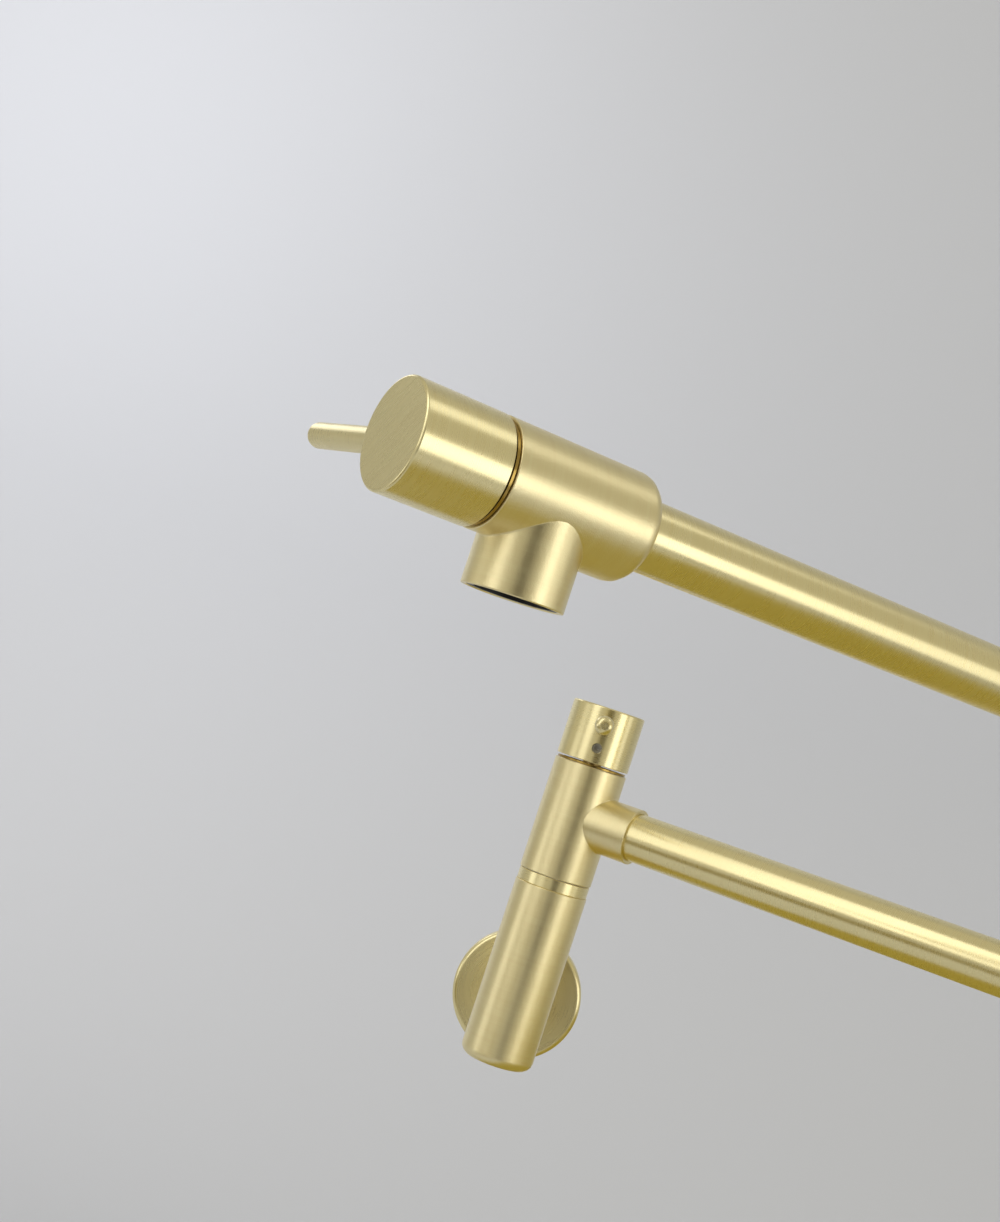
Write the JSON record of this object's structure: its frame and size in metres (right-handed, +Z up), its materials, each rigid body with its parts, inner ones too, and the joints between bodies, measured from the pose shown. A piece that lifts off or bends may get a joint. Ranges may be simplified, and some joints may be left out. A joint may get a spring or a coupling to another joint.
{
  "type": "wall mounted pot filler",
  "caption": "Double-jointed swing-arm tap on a wall post, brushed gold, with a round horizontal head, short outlet stub and two pin-lever shut-off knobs.",
  "frame": {"origin": "inlet axis at the wall face, which is the back face of the wall flange", "axes": "+Y into the wall along the inlet, +Z up along the post, +X to the right as seen from the room; at rest the arms stand part folded as in the picture"},
  "size_m": [0.3348, 0.4006, 0.2254],
  "materials": {
    "brushed_gold": "brushed satin gold colour over brass",
    "bare_brass": "turned, bare",
    "stainless_steel": "plain",
    "black_rubber": "matt",
    "white_acetal": "smooth",
    "black_plastic": "moulded",
    "valve_ceramic": null
  },
  "bodies": {
    "wall_body": {"wall_flange": "brushed_gold", "flange_seal": "black_rubber", "flange_set_screw": "stainless_steel", "inlet_nipple": "bare_brass", "inlet_screen": "stainless_steel", "nipple_washer": "black_rubber", "inlet_body": "brushed_gold", "post_core": "bare_brass", "post_ring": "brushed_gold", "post_lower_bearing": "white_acetal", "post_upper_bearing": "white_acetal", "post_o_rings": "black_rubber", "wall_neck_ring": "brushed_gold", "wall_cartridge_body": "bare_brass", "wall_seat_seal": "black_rubber", "wall_spindle_o_ring": "black_rubber", "wall_fixed_disc": "valve_ceramic", "wall_cartridge_nut": "bare_brass"},
    "wall_valve": {"wall_moving_disc": "valve_ceramic", "wall_spindle": "bare_brass", "wall_knob": "brushed_gold", "wall_knob_insert": "bare_brass", "wall_lever": "brushed_gold", "wall_knob_screw": "stainless_steel"},
    "arm_1": {"post_sleeve": "brushed_gold", "arm_tube_1": "brushed_gold", "elbow_lower_body": "brushed_gold", "elbow_core": "bare_brass", "elbow_ring": "brushed_gold", "elbow_lower_bearing": "white_acetal", "elbow_o_rings": "black_rubber", "elbow_clip": "stainless_steel"},
    "arm_2": {"elbow_upper_sleeve": "brushed_gold", "elbow_upper_bearing": "white_acetal", "elbow_cap": "brushed_gold", "arm_tube_2": "brushed_gold", "head_body": "brushed_gold", "head_neck_ring": "brushed_gold", "aerator_washer": "black_rubber", "aerator_housing": "black_plastic", "aerator_core": "black_plastic", "aerator_screen": "stainless_steel", "head_cartridge_body": "bare_brass", "head_seat_seal": "black_rubber", "head_spindle_o_ring": "black_rubber", "head_fixed_disc": "valve_ceramic", "head_cartridge_nut": "bare_brass"},
    "head_valve": {"head_moving_disc": "valve_ceramic", "head_spindle": "bare_brass", "head_knob": "brushed_gold", "head_knob_insert": "bare_brass", "head_lever": "brushed_gold", "head_knob_screw": "stainless_steel"}
  },
  "joints": [
    {"name": "post_swivel", "type": "hinge", "parent": "wall_body", "child": "arm_1", "pos_m": [0, -0.062, 0.084], "axis": [0, 0, 1], "range_deg": [-154, 26]},
    {"name": "elbow_swivel", "type": "hinge", "parent": "arm_1", "child": "arm_2", "pos_m": [0.21931, -0.16896, 0.1714], "axis": [0, 0, 1], "continuous": true},
    {"name": "wall_valve_turn", "type": "hinge", "parent": "wall_body", "child": "wall_valve", "pos_m": [0, -0.062, 0.1059], "axis": [0, 0, 1], "range_deg": [-90, 0]},
    {"name": "head_valve_turn", "type": "hinge", "parent": "arm_2", "child": "head_valve", "pos_m": [-0.04773, -0.35804, 0.1714], "axis": [-0.8161, -0.5779, 0], "range_deg": [-90, 0]}
  ]
}
